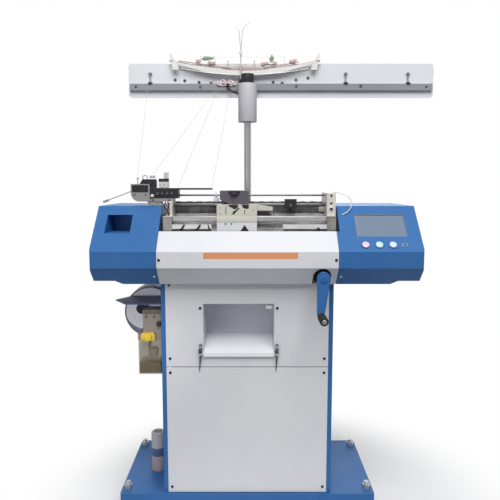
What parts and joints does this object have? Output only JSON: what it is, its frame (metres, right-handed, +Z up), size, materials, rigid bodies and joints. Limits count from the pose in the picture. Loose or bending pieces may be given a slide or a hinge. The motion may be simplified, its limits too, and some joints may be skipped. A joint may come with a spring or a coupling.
{
  "type": "flat knitting machine",
  "caption": "Small V-bed knitting machine for gloves on a pedestal column, with a sliding carriage, hand crank, touch screen and yarn rack on a post",
  "frame": {"origin": "on the floor under the middle of the machine's box", "axes": "+Z up, the front with the screen and crank faces -Y, +X to the right of someone who faces it"},
  "size_m": [1.159, 0.567, 1.705],
  "materials": {
    "white_paint": "satin white powder coat",
    "blue_paint": "satin blue powder coat",
    "grey_paint": "grey coat",
    "cream_paint": "cream coat",
    "bright_steel": "ground steel",
    "chrome_tube": "polished",
    "black_plastic": "matt black",
    "black_steel": "blackened",
    "violet_grey": "dark grey coat",
    "screen_glass": "touch screen, switched off",
    "stop_lens": "pale red lens",
    "start_lens": "pale green lens",
    "reset_lens": "pale blue lens",
    "rack_sheet": "white sheet",
    "tan_bar": "tan coat",
    "tank_plastic": "translucent amber",
    "pump_plastic": "grey brown",
    "belt_rubber": "flat belt",
    "thread": "wound thread",
    "yarn": "cotton yarn",
    "cable_skin": "white tube"
  },
  "bodies": {
    "machine": {"base_plinth": "blue_paint", "leveling_feet": "bright_steel", "column_frame": "blue_paint", "lower_front_panel": "white_paint", "upper_front_panel": "white_paint", "panel_screws": "black_steel", "chute_box": "grey_paint", "chute_tray": "white_paint", "head_base": "grey_paint", "front_cover": "white_paint", "left_cover": "blue_paint", "right_cover": "blue_paint", "rear_cover": "white_paint", "touch_screen": "screen_glass", "button_bodies": "bright_steel", "front_needle_bed": "bright_steel", "rear_needle_bed": "bright_steel", "needles": "black_steel", "left_end_block": "cream_paint", "right_end_block": "cream_paint", "guide_rails": "bright_steel", "brush_strip": "black_plastic", "changer_base": "bright_steel", "changer_box": "black_plastic", "changer_solenoid": "bright_steel", "shaft_brackets": "grey_paint", "drive_belt": "belt_rubber", "drive_motor": "black_steel", "post": "chrome_tube", "post_sleeve": "white_paint", "rack_plate": "rack_sheet", "rack_bar": "grey_paint", "bow_bar": "tan_bar", "bow_strip": "cream_paint", "bow_wires": "bright_steel", "bow_bracket": "black_plastic", "blower_housing": "white_paint", "blower_bracket": "blue_paint", "oil_tank": "tank_plastic", "oil_pump": "pump_plastic", "thread_spool": "thread", "yarn_one": "yarn", "yarn_two": "yarn", "yarn_three": "yarn", "yarn_four": "yarn", "cable_loop": "cable_skin"},
    "carriage": {"cam_blocks": "cream_paint", "carriage_skirt": "white_paint", "carriage_bridge": "violet_grey", "selector_unit": "black_plastic"},
    "crank": {"crank_shaft": "bright_steel", "crank_arm": "blue_paint"},
    "grip": {"crank_grip": "black_plastic"},
    "idler": {"idler_pulley": "bright_steel"},
    "carrier": {"yarn_carrier": "black_plastic"},
    "stop_cap": {"stop_button": "stop_lens"},
    "start_cap": {"start_button": "start_lens"},
    "reset_cap": {"reset_button": "reset_lens"},
    "left_antenna": {"antenna_left": "bright_steel"},
    "right_antenna": {"antenna_right": "bright_steel"}
  },
  "joints": [
    {"name": "carriage_slide", "type": "slide", "parent": "machine", "child": "carriage", "axis": [1, 0, 0], "range_m": [-0.125, 0.15]},
    {"name": "crank_turn", "type": "hinge", "parent": "machine", "child": "crank", "pos_m": [0.1265, -0.1065, 0.848], "axis": [0, 1, 0], "range_deg": [-452, 542]},
    {"name": "idler_turn", "type": "hinge", "parent": "machine", "child": "idler", "pos_m": [-0.3335, 0.1095, 0.848], "axis": [0, 1, 0], "range_deg": [-452, 542]},
    {"name": "grip_spin", "type": "hinge", "parent": "crank", "child": "grip", "pos_m": [0.11869, -0.2365, 0.73627], "axis": [0, 1, 0], "continuous": true},
    {"name": "carrier_slide", "type": "slide", "parent": "machine", "child": "carrier", "axis": [1, 0, 0], "range_m": [-0.345, 0.085]},
    {"name": "stop_press", "type": "slide", "parent": "machine", "child": "stop_cap", "axis": [0, 0.7071, -0.7071], "range_m": [0, 0.003], "stiffness_N_per_m": 400, "springref_m": -0.003},
    {"name": "start_press", "type": "slide", "parent": "machine", "child": "start_cap", "axis": [0, 0.7071, -0.7071], "range_m": [0, 0.003], "stiffness_N_per_m": 400, "springref_m": -0.003},
    {"name": "reset_press", "type": "slide", "parent": "machine", "child": "reset_cap", "axis": [0, 0.7071, -0.7071], "range_m": [0, 0.003], "stiffness_N_per_m": 400, "springref_m": -0.003},
    {"name": "left_antenna_swing", "type": "hinge", "parent": "machine", "child": "left_antenna", "pos_m": [-0.1275, 0.2215, 1.595], "axis": [0, 1, 0], "range_deg": [-20, 20], "stiffness_Nm_per_rad": 0.05},
    {"name": "right_antenna_swing", "type": "hinge", "parent": "machine", "child": "right_antenna", "pos_m": [-0.1275, 0.2215, 1.595], "axis": [0, 1, 0], "range_deg": [-20, 20], "stiffness_Nm_per_rad": 0.05}
  ],
  "couplings": [
    {"joint": "crank_turn", "follows": "carriage_slide", "rad_per_m": 62.893},
    {"joint": "idler_turn", "follows": "carriage_slide", "rad_per_m": 62.893}
  ]
}
